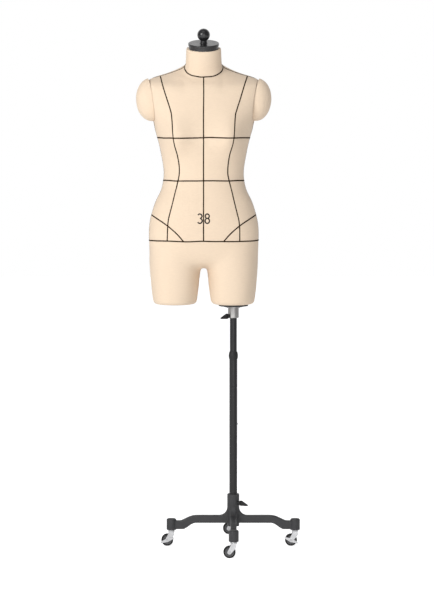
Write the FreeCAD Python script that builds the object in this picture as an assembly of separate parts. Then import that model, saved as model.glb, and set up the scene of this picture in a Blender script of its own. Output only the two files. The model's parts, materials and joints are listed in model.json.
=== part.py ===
"""Dress form mannequin on a caster stand.  Millimetres, +Z up, front faces -Y.

The origin is the floor point under the pole.  Each node is written as parts/NODE.step.
"""
import FreeCAD, Part
import math
import os

V = FreeCAD.Vector
UP = V(0, 0, 1)

# ---------------------------------------------------------------- form
FORM_X = -93.0            # middle plane of the form; the pole stands under its left leg
COVER_T = 1.2             # linen
PADDING_T = 7.8           # wadding under the linen
SHELL_T = 3.0             # moulded shell
WALL_T = COVER_T + PADDING_T + SHELL_T
TAPE_W = 3.6
TAPE_T = 0.6
RING_POINTS = 40          # points round one body section

# Body sections, bottom to top: height, half width, front depth, back depth, squareness,
# bust, seat, tilt in degrees, centre shift back, share of a layer's inset taken downwards.
TRUNK = [
    (884.5, 36, 22, 26, 2.0, 0, 0, 0.0, 2, -1.0),
    (887.0, 75, 44, 50, 2.1, 0, 0, 0.0, 2, -1.0),
    (894.5, 126, 70, 80, 2.4, 0, 4, 0.0, 1, -0.8),
    (910.5, 161, 89, 98, 2.8, 0, 12, 0.0, 0, -0.3),
    (932.5, 169.5, 96, 106, 2.9, 0, 19, 0.0, 0, 0.0),
    (952.5, 171, 100, 109, 2.8, 0, 21, 0.0, 0, 0.0),
    (977.5, 171.5, 103, 110, 2.65, 0, 18, 0.0, 0, 0.0),
    (1007.5, 171, 105, 107, 2.5, 0, 11, 0.0, 0, 0.0),
    (1045.5, 165, 105, 99, 2.35, 0, 4, 0.0, 0, 0.0),
    (1071.5, 157.5, 102, 91, 2.3, 0, 0, 0.0, 0, 0.0),
    (1096.5, 148, 98, 84, 2.3, 0, 0, 0.0, 0, 0.0),
    (1121.5, 135.5, 92, 78, 2.25, 0, 0, 0.0, 0, 0.0),
    (1146.5, 128, 88, 75, 2.2, 0, 0, 0.0, 0, 0.0),
    (1177.5, 124.5, 87, 74, 2.2, 0, 0, 0.0, 0, 0.0),
    (1207.5, 127, 89, 77, 2.2, 2, 0, 0.0, 0, 0.0),
    (1237.5, 132.5, 94, 82, 2.2, 12, 0, 0.0, 0, 0.0),
    (1263.5, 137.5, 100, 88, 2.2, 29, 0, 0.0, 0, 0.0),
    (1292.5, 145, 104, 92, 2.25, 38, 0, 0.0, 0, 0.0),
    (1319.5, 153, 104, 94, 2.3, 28, 0, 0.0, 0, 0.0),
    (1352.5, 164, 99, 96, 2.35, 13, 0, 0.0, 0, 0.0),
    (1392.5, 179, 90, 97, 2.4, 3, 0, 0.0, 0, 0.0),
    (1429.5, 187, 81, 97, 2.4, 0, 0, 2.0, 0, 0.2),
    (1455.5, 184, 73.5, 92, 2.35, 0, 0, 6.0, 0, 0.6),
    (1470.5, 167, 69, 85, 2.25, 0, 0, 12.0, 0, 1.0),
    (1481.0, 135, 66, 78, 2.15, 0, 0, 18.0, 0, 1.0),
    (1492.0, 101, 62.5, 71, 2.1, 0, 0, 24.5, 0, 1.0),
    (1501.5, 75.5, 58.5, 65, 2.05, 0, 0, 29.5, 0, 0.7),
    (1510.0, 61, 55, 60, 2.0, 0, 0, 31.5, 0, 0.3),
    (1520.5, 56.6, 52.8, 56.5, 2.0, 0, 0, 29.0, -1.5, 0.0),
    (1535.5, 55.4, 51.6, 54.5, 2.0, 0, 0, 24.0, -5, 0.0),
    (1554.5, 54.7, 50.8, 53.0, 2.0, 0, 0, 19.0, -9, 0.0),
    (1573.5, 54.3, 50.4, 52.2, 2.0, 0, 0, 15.5, -13, 0.0),
    (1593.5, 54.2, 50.4, 52.2, 2.0, 0, 0, 15.5, -18, 0.0),
]
BUST_X, BUST_R = 91.0, 44.0
SEAT_X, SEAT_R = 82.0, 66.0

# Leg sections, bottom to top: height, centre out from the middle plane, half width,
# front depth, back depth, share of a layer's inset taken downwards.
LEG = [
    (769.5, 90.5, 57, 71, 73, -1.0),
    (771.5, 90.5, 63, 78, 79, -1.0),
    (776.5, 90.5, 67.5, 84, 85, -0.8),
    (784.5, 90.5, 69.5, 86, 88, -0.4),
    (807.5, 90.5, 72.5, 88, 91, 0.0),
    (831.5, 90.2, 75.0, 90, 95, 0.0),
    (867.5, 89.8, 78.0, 92, 103, 0.0),
    (887.5, 88.4, 81.3, 93.5, 109, 0.0),
    (907.5, 86.6, 84.2, 94.5, 113, 0.0),
    (927.5, 85.9, 84.6, 94.5, 115, 0.0),
    (947.5, 85.4, 83.6, 93, 115, 0.0),
    (964.5, 85.0, 80.0, 89, 110, 0.0),
]
LEG_POWER = 2.15
SOLE_Z = 769.5

NECK_Y, NECK_Z, NECK_TILT = -13.0, 1567.0, 15.5
ARMHOLE_X, ARMHOLE_Y, ARMHOLE_Z = 165.0, -1.0, 1408.5
ARMHOLE_TILT, ARMHOLE_YAW = 8.0, 9.0    # the armhole faces out, slightly down and forward
PADDING_CUTS = (912.0, 1157.5, 1512.0)  # heights where the wadding's blocks meet
NECK_BLOCK_DEEP = 58.0
BOARD_T = 18.0            # leg boards
SHOULDER_BOARD_T = 10.0
BEYOND = 400.0            # size of the blocks that cut right through the form

# ---------------------------------------------------------------- style lines
# Outwards from the middle plane and up from the floor.
PRINCESS = [
    (138, 1489), (116, 1419), (102.5, 1376), (98, 1354), (92, 1282), (80, 1234),
    (75, 1190), (79, 1156), (102.5, 1064), (110, 1026), (113, 970.5),
]
BIKINI = [(167, 1054), (140, 1037), (111, 1018), (84, 995), (62, 970.5)]
BUST_Z, WAIST_Z, HIP_Z = 1290.0, 1157.5, 970.5
NECKLINE_Z, NECKLINE_TILT = 1510.0, 31.5
NECKLINE_FRONT, NECKLINE_BACK = 46.5, 51.5      # depth of the neckline's front and back
ARMPIT_Z = 1341.0
SIDE_SEAM_IN = 110.0      # the side seam's cutting block starts this far out
RIDGE_IN, RIDGE_OUT, RIDGE_LOW, RIDGE_TALL = 58.0, 169.0, 1459.0, 51.5

# ---------------------------------------------------------------- arm caps
CAP_HIGH, CAP_DEEP, CAP_REACH = 66.0, 48.0, 46.0    # half height, half depth, dome reach
CAP_POWER, CAP_SAG = 2.2, 4.0
CAP_ANGLES = (0, 14, 28, 42, 56, 70, 83)
CAP_GAP = 0.1
PLATE_HIGH, PLATE_DEEP, ARM_PLATE_T = 46.0, 30.0, 1.5
ARM_BOARD_T = 4.0
MAGNET_R, MAGNET_T = 8.0, 3.0
MAGNET_SPOTS = (-34, 0, 34)
SCREW_SPOTS = (-18, 18)
PLATE_SCREW_R, PLATE_SCREW_HEAD, PLATE_SCREW_LONG = 1.7, 3.5, 24.0

# ---------------------------------------------------------------- neck cap and finial
DISC_R, DISC_T, DISC_EDGE = 48.0, 8.0, 2.0
UNDER_R, UNDER_T = 46.3, 9.0
KNOB_R, KNOB_REACH = 19.6, 42.8
STEM_R, STEM_FOOT, STEM_FOOT_T = 10.2, 12.4, 4.0
STUD_R, STUD_DEEP, STUD_TALL = 4.0, 40.0, 34.0

# ---------------------------------------------------------------- stand
RUN = 0.05                # radial clearance of turning and sliding fits
UPPER_R, UPPER_WALL = 10.95, 1.5
LOWER_R, LOWER_WALL = 12.5, 1.5
UPPER_LOW, UPPER_TOP = 347.5, 759.5
LOWER_LOW, LOWER_TOP = 70.0, 614.0
COLLAR_LOW, COLLAR_TOP = 595.0, 618.5
COLLAR_R, COLLAR_LOW_R, COLLAR_TOP_R = 14.5, 13.1, 12.2
HOLE_R, HOLE_PITCH, HOLE_COUNT = 3.6, 57.5, 5
BUTTON_Z, BUTTON_R, BUTTON_OUT = 388.5, 3.5, 15.3
BUTTON_IN, BUTTON_RIM, BUTTON_RIM_T = 6.4, 4.4, 1.8
FIRST_HOLE_Z = BUTTON_Z - 2 * HOLE_PITCH
SPRING_T, SPRING_W = 0.6, 6.0
SPRING = [(-8.2, 13), (-8.2, -9), (-6.6, -29), (-2.5, -32), (2.5, -19), (5.6, -4.5), (5.8, 1), (5.8, 6)]
PLUG_DEEP, PLUG_LIP = 12.0, 0.8

PLATE_R, PLATE_T, PLATE_EDGE = 46.5, 6.5, 0.8
FLANGE_R, FLANGE_T = 30.0, 3.0
SOCKET_R, SOCKET_LOW, SOCKET_EDGE = 17.0, 725.5, 1.0
SCREW_PCR, SCREW_R, SCREW_HEAD_R, SCREW_HEAD_T, SCREW_LONG = 38.0, 2.0, 4.2, 2.4, 27.0
BOLT_PCR, BOLT_R, BOLT_HEAD_R, BOLT_HEAD_T, BOLT_LONG = 24.0, 2.0, 3.8, 2.6, 7.0

HUB_R, HUB_LOW, HUB_TOP = 19.25, 64.0, 166.5
ARM_LOW, ARM_TOP, ARM_WIDE = 73.5, 97.8, 19.0
# Where an arm's top and bottom edges start and end their drop, by how much, and how late it falls.
TOP_DROP = (108.0, 172.0, 17.5, 1.45)
LOW_DROP = (116.0, 161.0, 20.0, 1.15)
DROP_STEPS = 6
CUP_RADIUS, CUP_R, CUP_LOW, CUP_TOP = 196.0, 15.4, 51.5, 87.0
WEB_R = 25.0              # fillet between hub and arm
HUB_EDGE, ARM_EDGE, CUP_EDGE = 2.5, 3.5, 5.0
CUP_DEEP = 32.0           # bore for the sleeve

CLAMP_SCREW_R = 3.0
CLAMP_GRIP = 7.0          # how far the screw runs into its lever
SOCKET_CLAMP = (731.5, 220.0, UPPER_R, SOCKET_R)    # height, degrees, pole, wall
BASE_CLAMP = (138.5, -33.0, LOWER_R, HUB_R)
BOSS_R, BOSS_NEAR, BOSS_FAR = 6.2, 0.4, 9.0
FIN_TALL, FIN_T, FIN_TIP_R, FIN_LONG, FIN_OUT, FIN_EDGE = 17.0, 5.0, 2.6, 23.0, 10.0, 1.6
FIN_DROOP = 12.0

# ---------------------------------------------------------------- casters
WHEEL_R, TYRE_IN_R, TYRE_EDGE, WHEEL_HALF = 19.0, 14.0, 2.5, 7.5
CORE_HALF, WHEEL_HUB_R, DISH_R, DISH_DEEP = 6.5, 5.0, 11.5, 2.2
TRAIL = 13.0
AXLE_R, RIVET_R, RIVET_T, AXLE_END = 2.5, 4.0, 1.4, 0.5
FORK_TOP, FORK_T = 47.5, 2.0
FORK_GAP = 8.6            # half width inside the fork
CHEEK_T, CHEEK_TOP_R, CHEEK_LOW_R, CHEEK_Z = 1.8, 9.0, 6.4, 38.5
CHEEK_OUT = FORK_GAP + CHEEK_T + RUN
FORK_RIM_R, FORK_BRIDGE = 11.0, 15.0
PIN_R, PIN_LOW, PIN_LONG = 5.0, 43.5, 38.0
PIN_COLLAR_R, PIN_HEAD_R, PIN_HEAD_T = 8.2, 7.2, 2.4
SLEEVE_R, SLEEVE_LONG, SLEEVE_RIM_R, SLEEVE_RIM_T = 7.0, 31.0, 9.5, 1.2
BRAKE_HALF, BRAKE_W, BRAKE_T, BRAKE_EYE_R = 22.5, 5.5, 1.5, 5.6
BRAKE_GAP = 0.2
LIP_T, LIP_LONG, LIP_IN = 1.4, 4.0, 2.4
CASTERS = {"left": 0.0, "rear": 90.0, "right": 180.0, "front": 270.0}
BRAKE_TILT = {"left": -22.0, "right": 20.0}


def cylinder(radius, low, high):
    """An upright cylinder on the pole axis."""
    return Part.makeCylinder(radius, high - low, V(0, 0, low), UP)


def tube(outer, inner, low, high):
    """An upright tube on the pole axis."""
    return cylinder(outer, low, high).cut(cylinder(inner, low - 1, high + 1))


def rod(radius, start, end):
    """A round bar between two points."""
    way = end - start
    return Part.makeCylinder(radius, way.Length, start, way)


def mirrored(shape):
    """The same thing on the form's other side."""
    return shape.mirror(V(FORM_X, 0, 0), V(1, 0, 0))


def group(shapes):
    """Separate solids in one node."""
    return Part.makeCompound([solid for shape in shapes for solid in shape.Solids])


def superellipse(angle, half, front, back, power):
    """A point of a rounded section with its own depth in front and behind."""
    c, s = math.cos(angle), math.sin(angle)
    depth = back if s > 0 else front
    x = half * math.copysign(abs(c) ** (2 / power), c)
    y = depth * math.copysign(abs(s) ** (2 / power), s)
    return x, y


def shrink(points, inset):
    """Moves each point of a closed outline inwards along its normal."""
    moved = []
    count = len(points)
    for k, (x, y) in enumerate(points):
        x0, y0 = points[k - 1]
        x1, y1 = points[(k + 1) % count]
        length = math.hypot(x1 - x0, y1 - y0)
        moved.append((x - inset * (y1 - y0) / length, y + inset * (x1 - x0) / length))
    return moved


def smooth_ring(points):
    """A smooth closed curve through points; equal counts of points give equal knots."""
    curve = Part.BSplineCurve()
    steps = [k / len(points) for k in range(len(points) + 1)]
    curve.interpolate(Points=points, PeriodicFlag=True, Parameters=steps)
    return curve


def ring_steps(rings):
    """How far along the body each ring lies, from 0 to 1, by the longest step between rings."""
    steps = [0.0]
    for low, high in zip(rings, rings[1:]):
        steps.append(steps[-1] + max(p.distanceToPoint(q) for p, q in zip(low, high)))
    return [step / steps[-1] for step in steps]


def skin_surface(rings):
    """One smooth surface through closed rings of points."""
    steps = ring_steps(rings)
    columns = []
    for k in range(len(rings[0])):
        column = Part.BSplineCurve()
        column.interpolate(Points=[ring[k] for ring in rings], Parameters=steps)
        columns.append(column)
    rows = [
        smooth_ring([column.getPole(i + 1) for column in columns])
        for i in range(columns[0].NbPoles)
    ]
    around, along = rows[0], columns[0]
    surface = Part.BSplineSurface()
    surface.buildFromPolesMultsKnots(
        [[row.getPole(j + 1) for row in rows] for j in range(around.NbPoles)],
        around.getMultiplicities(),
        along.getMultiplicities(),
        around.getKnots(),
        along.getKnots(),
        True,
        False,
        around.Degree,
        along.Degree,
    )
    return surface.toShape()


def skinned(rings):
    """A closed solid through rings of points, with flat ends."""
    side = skin_surface(rings)
    rims = [e for e in side.Edges if len(e.Vertexes) == 1]
    shell = Part.makeShell([side] + [Part.Face(Part.Wire([rim])) for rim in rims])
    shell.sewShape()
    solid = Part.Solid(shell)
    if solid.Volume < 0:
        solid.reverse()
    return solid


def bump(x, centre, radius):
    """A soft swelling either side of the middle plane."""
    return math.exp(-(((abs(x) - centre) / radius) ** 2))


def trunk_section(station, inset):
    """One closed section of trunk or neck, drawn in by inset."""
    height, half, front, back, power, bust, seat, tilt, shift, share = station
    outline = []
    for k in range(RING_POINTS):
        angle = 2 * math.pi * k / RING_POINTS
        x, y = superellipse(angle, half, front, back, power)
        fade = abs(math.sin(angle))
        if y < 0:
            y -= bust * fade * bump(x, BUST_X, BUST_R)
        else:
            y += seat * fade * bump(x, SEAT_X, SEAT_R)
        outline.append((x, y))
    c, s = math.cos(math.radians(tilt)), math.sin(math.radians(tilt))
    level = height - share * inset
    return [V(FORM_X + x, shift + y * c, level + y * s) for x, y in shrink(outline, inset)]


def leg_section(station, inset, side):
    """One closed section of a leg stump, drawn in by inset."""
    height, centre, half, front, back, share = station
    outline = []
    for k in range(RING_POINTS):
        angle = 2 * math.pi * k / RING_POINTS
        outline.append(superellipse(angle, half, front, back, LEG_POWER))
    level = height - share * inset
    middle = FORM_X + side * centre
    return [V(middle + x, y, level) for x, y in shrink(outline, inset)]


def armhole_frame(side):
    """Centre, outward direction and upward direction of an armhole face."""
    tilt, yaw = math.radians(ARMHOLE_TILT), math.radians(ARMHOLE_YAW)
    centre = V(FORM_X + side * ARMHOLE_X, ARMHOLE_Y, ARMHOLE_Z)
    flat = V(side * math.cos(yaw), -math.sin(yaw), 0)
    out = flat * math.cos(tilt) - UP * math.sin(tilt)
    up = flat * math.sin(tilt) + UP * math.cos(tilt)
    return centre, out, up


def armhole_block(side, low, high):
    """A large slab along the armhole face, from low to high along its outward normal."""
    centre, out, _ = armhole_frame(side)
    return slab(BEYOND, low, high, centre, out)


def slab(width, low, high, point, normal):
    """A square slab centred on a line: from low to high along normal, measured from point."""
    block = Part.makeBox(width, width, high - low, V(-width / 2, -width / 2, low))
    block.Placement = FreeCAD.Placement(point, FreeCAD.Rotation(UP, normal))
    return block


def neck_axis():
    """Centre and outward direction of the neck's top face."""
    tilt = math.radians(NECK_TILT)
    return V(FORM_X, NECK_Y, NECK_Z), V(0, -math.sin(tilt), math.cos(tilt))


def neck_top_block(low):
    """Everything above a level of the neck, measured from its top face."""
    centre, way = neck_axis()
    return slab(BEYOND, low, 120, centre, way)


def body(inset):
    """The whole form as one solid, drawn in by inset."""
    shape = skinned([trunk_section(s, inset) for s in TRUNK])
    for side in (-1, 1):
        shape = shape.fuse(skinned([leg_section(s, inset, side) for s in LEG]))
    for side in (-1, 1):
        shape = shape.cut(armhole_block(side, -inset, 120))
    return shape.cut(neck_top_block(-inset))


def padding_blocks(padding):
    """The wadding as it is laid on: two legs, lower body, upper body and neck."""
    half = BEYOND / 2
    legs_top, waist, neck = PADDING_CUTS
    levels = ((legs_top, waist), (waist, neck), (neck, neck + BEYOND))
    blocks = []
    for side in (-1, 1):
        corner = V(FORM_X + min(0, side * half), -half, 0)
        blocks.append(padding.common(Part.makeBox(half, BEYOND, legs_top, corner)))
    for low, high in levels:
        corner = V(FORM_X - half, -half, low)
        blocks.append(padding.common(Part.makeBox(BEYOND, BEYOND, high - low, corner)))
    return group(blocks)


def ribbon(points, width, start, depth):
    """A smooth band through (x, z) points, extruded along Y from start by depth."""
    edges = []
    for sign in (0.5, -0.5):
        side = []
        for k, (x, z) in enumerate(points):
            x0, z0 = points[max(k - 1, 0)]
            x1, z1 = points[min(k + 1, len(points) - 1)]
            length = math.hypot(x1 - x0, z1 - z0)
            dx, dz = (x1 - x0) / length, (z1 - z0) / length
            side.append(V(x - sign * width * dz, start, z + sign * width * dx))
        curve = Part.BSplineCurve()
        curve.interpolate(side)
        edges.append((curve.toShape(), side))
    (first, a), (second, b) = edges
    ends = [Part.makeLine(a[0], b[0]), Part.makeLine(a[-1], b[-1])]
    wire = Part.Wire(Part.__sortEdges__([first, second] + ends))
    return Part.Face(wire).extrude(V(0, depth, 0))


def teardrop(big, small, length, thick):
    """A flat plate round two discs, in the XZ plane: big at the origin, small at +X."""
    lean = math.acos((big - small) / length)
    bx, bz = big * math.cos(lean), big * math.sin(lean)
    sx, sz = length + small * math.cos(lean), small * math.sin(lean)
    wire = Part.Wire(
        [
            Part.Arc(V(bx, 0, bz), V(-big, 0, 0), V(bx, 0, -bz)).toShape(),
            Part.makeLine(V(bx, 0, -bz), V(sx, 0, -sz)),
            Part.Arc(V(sx, 0, -sz), V(length + small, 0, 0), V(sx, 0, sz)).toShape(),
            Part.makeLine(V(sx, 0, sz), V(bx, 0, bz)),
        ]
    )
    plate = Part.Face(wire).extrude(V(0, thick, 0))
    plate.translate(V(0, -thick / 2, 0))
    return plate


# ---------------------------------------------------------------- form
def along_x(points, side):
    """Points given outwards from the middle plane, placed on one side of the form."""
    return [(FORM_X + side * x, z) for x, z in points]


def tape_prisms():
    """Every style line as a solid that crosses the form's surface."""
    half, reach = TAPE_W / 2, BEYOND / 2
    prisms = []
    for level in (BUST_Z, WAIST_Z, HIP_Z):
        corner = V(FORM_X - reach, -reach, level - half)
        prisms.append(Part.makeBox(BEYOND, BEYOND, TAPE_W, corner))
    lean = math.radians(NECKLINE_TILT)
    for start, neck in ((-reach, -NECKLINE_FRONT), (0, NECKLINE_BACK)):
        height = NECKLINE_Z + neck * math.tan(lean) - HIP_Z
        prisms.append(Part.makeBox(TAPE_W, reach, height, V(FORM_X - half, start, HIP_Z)))
    normal = V(0, -math.sin(lean), math.cos(lean))
    prisms.append(slab(reach, -half, half, V(FORM_X, 0, NECKLINE_Z), normal))
    for side in (-1, 1):
        prisms.append(ribbon(along_x(PRINCESS, side), TAPE_W, -reach, BEYOND))
        prisms.append(ribbon(along_x(BIKINI, side), TAPE_W, -reach, reach))
    corner = V(FORM_X + SIDE_SEAM_IN, -half, HIP_Z)
    seam = Part.makeBox(reach - SIDE_SEAM_IN, TAPE_W, ARMPIT_Z - HIP_Z, corner)
    corner = V(FORM_X + RIDGE_IN, ARMHOLE_Y - half, RIDGE_LOW)
    ridge = Part.makeBox(RIDGE_OUT - RIDGE_IN, TAPE_W, RIDGE_TALL, corner)
    return prisms + [seam, ridge, mirrored(seam), mirrored(ridge)]


def style_tapes(skin):
    """Narrow tapes sewn on the linen along the style lines."""
    prisms = tape_prisms()
    net = prisms[0].multiFuse(prisms[1:])
    return skin.common(net)


def neck_rod(radius, low, high):
    """A round piece on the neck's axis, measured from the neck's top face."""
    centre, way = neck_axis()
    return rod(radius, centre + way * low, centre + way * high)


def neck_cap():
    """A two-tier lid on the neck, drilled for the finial stud."""
    under = neck_rod(UNDER_R, 0, UNDER_T + 0.5)
    disc = neck_rod(DISC_R, UNDER_T, UNDER_T + DISC_T)
    disc = disc.makeFillet(DISC_EDGE, disc.Edges)
    return under.fuse(disc).cut(neck_rod(STUD_R + RUN, -1, 40))


def finial_knob():
    """A ball on a short flared stem, tapped for the stud."""
    centre, way = neck_axis()
    seat = UNDER_T + DISC_T + RUN
    stem = neck_rod(STEM_R, seat, KNOB_REACH)
    foot = Part.makeCone(STEM_FOOT, STEM_R, STEM_FOOT_T, centre + way * seat, way)
    ball = Part.makeSphere(KNOB_R, centre + way * KNOB_REACH)
    return ball.fuse([stem, foot]).cut(neck_rod(STUD_R + RUN, seat - 1, STUD_TALL + 0.5))


def neck_block(cavity):
    """A wooden block filling the top of the neck."""
    centre, way = neck_axis()
    block = cavity.common(slab(BEYOND, -NECK_BLOCK_DEEP, 0, centre, way))
    return block.cut(neck_rod(STUD_R, -STUD_DEEP - 1, 10))


def leg_board(cavity):
    """A wooden board across the bottom of the left leg."""
    half = BEYOND / 2
    middle = V(FORM_X + half, 0, SOLE_Z + WALL_T)
    return cavity.common(slab(BEYOND, -1, BOARD_T, middle, UP))


def shoulder_board(cavity):
    """A wooden board behind the left armhole."""
    centre, out, _ = armhole_frame(1)
    return cavity.common(slab(BEYOND, -WALL_T - SHOULDER_BOARD_T, 0, centre, out))


# ---------------------------------------------------------------- armholes and arm caps
def arm_local(shape):
    """Places a shape drawn with X up, Y to the front and Z outwards on the left armhole."""
    centre, out, up = armhole_frame(1)
    turn = FreeCAD.Rotation(up, out.cross(up), out, "ZXY")
    shape.Placement = FreeCAD.Placement(centre, turn)
    return shape


def cap_dome(inset):
    """The solid inside an arm cap's surface, drawn in by inset."""
    rings = []
    for degrees in CAP_ANGLES:
        phi = math.radians(degrees)
        level = (CAP_REACH - inset) * math.sin(phi)
        points = []
        for k in range(RING_POINTS):
            angle = 2 * math.pi * k / RING_POINTS
            high, deep = CAP_HIGH - inset, CAP_DEEP - inset
            x, y = superellipse(angle, high, deep, deep, CAP_POWER)
            sag = CAP_SAG * level / CAP_REACH
            points.append(V(x * math.cos(phi) - sag, y * math.cos(phi), level + CAP_GAP))
        rings.append(points)
    return skinned(rings)


def plate_outline():
    """The armhole plate before drilling."""
    points = []
    for k in range(RING_POINTS):
        angle = 2 * math.pi * k / RING_POINTS
        x, y = superellipse(angle, PLATE_HIGH, PLATE_DEEP, PLATE_DEEP, CAP_POWER)
        points.append(V(x, y, 0))
    outline = Part.Wire([smooth_ring(points).toShape()])
    return Part.Face(outline).extrude(V(0, 0, ARM_PLATE_T))


def plate_screw(x):
    """A countersunk screw through the armhole plate into the board behind."""
    head = Part.makeCone(PLATE_SCREW_R, PLATE_SCREW_HEAD, ARM_PLATE_T, V(x, 0, 0), UP)
    low = V(x, 0, -PLATE_SCREW_LONG)
    return head.fuse(Part.makeCylinder(PLATE_SCREW_R, PLATE_SCREW_LONG, low, UP))


def arm_plate():
    """A thin steel plate that the arm cap's magnets hold."""
    return arm_local(plate_outline().cut([plate_screw(x) for x in SCREW_SPOTS]))


def magnet(x):
    """One disc magnet in the arm cap's board."""
    return Part.makeCylinder(MAGNET_R, MAGNET_T, V(x, 0, CAP_GAP + ARM_PLATE_T), UP)


def cap_slab(low, high):
    """The space between two levels above the armhole face."""
    half = BEYOND / 2
    return Part.makeBox(BEYOND, BEYOND, high - low, V(-half, -half, low))


def arm_cap_nodes():
    """Linen, foam, board and magnets of the left arm cap."""
    start = CAP_GAP + ARM_PLATE_T
    inside = cap_dome(COVER_T)
    cover = cap_dome(0).cut(inside)
    board = inside.common(cap_slab(start, start + ARM_BOARD_T))
    board = board.cut([magnet(x) for x in MAGNET_SPOTS])
    foam = inside.cut(cap_slab(-1, start + ARM_BOARD_T))
    return {
        "arm_cap_cover": arm_local(cover),
        "arm_cap_foam": arm_local(foam),
        "arm_cap_board": arm_local(board),
        "arm_cap_magnets": group([arm_local(magnet(x)) for x in MAGNET_SPOTS]),
    }


# ---------------------------------------------------------------- under the left leg
def round_spots(radius, count, start):
    """Points evenly round the pole."""
    turn = 2 * math.pi / count
    return [
        V(radius * math.cos(start + k * turn), radius * math.sin(start + k * turn), 0)
        for k in range(count)
    ]


def wood_screw(spot):
    """A countersunk screw, head down, from the mount plate into the leg board."""
    start = spot + V(0, 0, SOLE_Z - PLATE_T)
    head = Part.makeCone(SCREW_HEAD_R, SCREW_R, SCREW_HEAD_T, start, UP)
    return head.fuse(Part.makeCylinder(SCREW_R, SCREW_LONG, start, UP))


def socket_bolt(spot):
    """A round-headed bolt, head down, from the socket flange into the mount plate."""
    start = spot + V(0, 0, SOLE_Z - PLATE_T - FLANGE_T)
    head = Part.makeCylinder(BOLT_HEAD_R, BOLT_HEAD_T, start - V(0, 0, BOLT_HEAD_T), UP)
    return head.fuse(Part.makeCylinder(BOLT_R, BOLT_LONG, start, UP))


def wood_screws():
    """The four screws near the mount plate's rim."""
    return [wood_screw(spot) for spot in round_spots(SCREW_PCR, 4, 0)]


def socket_bolts():
    """The four bolts round the pole socket's flange."""
    return [socket_bolt(spot) for spot in round_spots(BOLT_PCR, 4, math.pi / 4)]


def mount_plate():
    """The dark round plate that carries the form."""
    plate = cylinder(PLATE_R, SOLE_Z - PLATE_T, SOLE_Z)
    plate = plate.makeChamfer(PLATE_EDGE, plate.Edges)
    return plate.cut(wood_screws() + socket_bolts())


def pole_socket():
    """A bright tube with a flange that slips over the pole."""
    top = SOLE_Z - PLATE_T
    sleeve_part = cylinder(SOCKET_R, SOCKET_LOW, top)
    mouth = [e for e in sleeve_part.Edges if e.BoundBox.ZMax < SOCKET_LOW + 0.1]
    sleeve_part = sleeve_part.makeChamfer(SOCKET_EDGE, mouth)
    socket = sleeve_part.fuse(cylinder(FLANGE_R, top - FLANGE_T, top))
    socket = socket.cut(cylinder(UPPER_R + RUN, SOCKET_LOW - 5, UPPER_TOP + 1))
    return socket.cut(socket_bolts() + [clamp_hole(SOCKET_CLAMP)])


# ---------------------------------------------------------------- clamps
def clamp_way(degrees):
    """Outward direction of a clamp screw."""
    return V(math.cos(math.radians(degrees)), math.sin(math.radians(degrees)), 0)


def clamp_hole(clamp):
    """The tapped hole a clamp screw turns in."""
    height, degrees, pole, wall = clamp
    way, middle = clamp_way(degrees), V(0, 0, height)
    return rod(CLAMP_SCREW_R + RUN, middle + way * pole / 2, middle + way * wall * 2)


def clamp_screw(clamp):
    """A screw from just clear of the pole to inside its lever."""
    height, degrees, pole, wall = clamp
    way, middle = clamp_way(degrees), V(0, 0, height)
    return rod(CLAMP_SCREW_R, middle + way * (pole + RUN), middle + way * (wall + CLAMP_GRIP))


def clamp_lever(clamp):
    """A boss with a flat fin to turn by hand."""
    height, degrees, _, wall = clamp
    boss = rod(BOSS_R, V(wall + BOSS_NEAR, 0, 0), V(wall + BOSS_FAR, 0, 0))
    fin = teardrop(FIN_TALL / 2, FIN_TIP_R, FIN_LONG, FIN_T)
    fin = fin.makeFillet(FIN_EDGE, fin.Edges)
    fin.rotate(V(0, 0, 0), V(0, 1, 0), FIN_DROOP)
    fin.translate(V(wall + FIN_OUT, 0, 0))
    lever = boss.fuse(fin)
    lever = lever.cut(rod(CLAMP_SCREW_R, V(wall, 0, 0), V(wall + CLAMP_GRIP, 0, 0)))
    lever.rotate(V(0, 0, 0), UP, degrees)
    lever.translate(V(0, 0, height))
    return lever


# ---------------------------------------------------------------- poles
def upper_pole():
    """The sliding tube, drilled for the button."""
    shape = tube(UPPER_R, UPPER_R - UPPER_WALL, UPPER_LOW, UPPER_TOP)
    return shape.cut(rod(BUTTON_R + RUN, V(0, 0, BUTTON_Z), V(20, 0, BUTTON_Z)))


def upper_pole_plug():
    """A plug closing the upper pole's top."""
    plug = cylinder(UPPER_R - UPPER_WALL, UPPER_TOP - PLUG_DEEP, UPPER_TOP)
    return plug.fuse(cylinder(UPPER_R - PLUG_LIP / 4, UPPER_TOP, UPPER_TOP + PLUG_LIP))


def lower_pole():
    """The fixed tube, with a row of height holes."""
    shape = tube(LOWER_R, LOWER_R - LOWER_WALL, LOWER_LOW, LOWER_TOP)
    for k in range(HOLE_COUNT):
        level = FIRST_HOLE_Z + k * HOLE_PITCH
        shape = shape.cut(rod(HOLE_R, V(5, 0, level), V(20, 0, level)))
    return shape


def pole_collar():
    """A barrel-shaped sleeve on the lower pole's top, with a lip round the upper pole."""
    low, middle, top = V(0, 0, COLLAR_LOW), V(0, 0, (COLLAR_LOW + COLLAR_TOP) / 2), V(0, 0, COLLAR_TOP)
    rim_low, rim_top = low + V(COLLAR_LOW_R, 0, 0), top + V(COLLAR_TOP_R, 0, 0)
    edges = [
        Part.makeLine(low, rim_low),
        Part.Arc(rim_low, middle + V(COLLAR_R, 0, 0), rim_top).toShape(),
        Part.makeLine(rim_top, top),
        Part.makeLine(top, low),
    ]
    collar = Part.Face(Part.Wire(edges)).revolve(V(0, 0, 0), UP, 360)
    collar = collar.cut(cylinder(LOWER_R, COLLAR_LOW - 1, LOWER_TOP))
    return collar.cut(cylinder(UPPER_R + 2 * RUN, COLLAR_LOW, COLLAR_TOP + 1))


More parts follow.
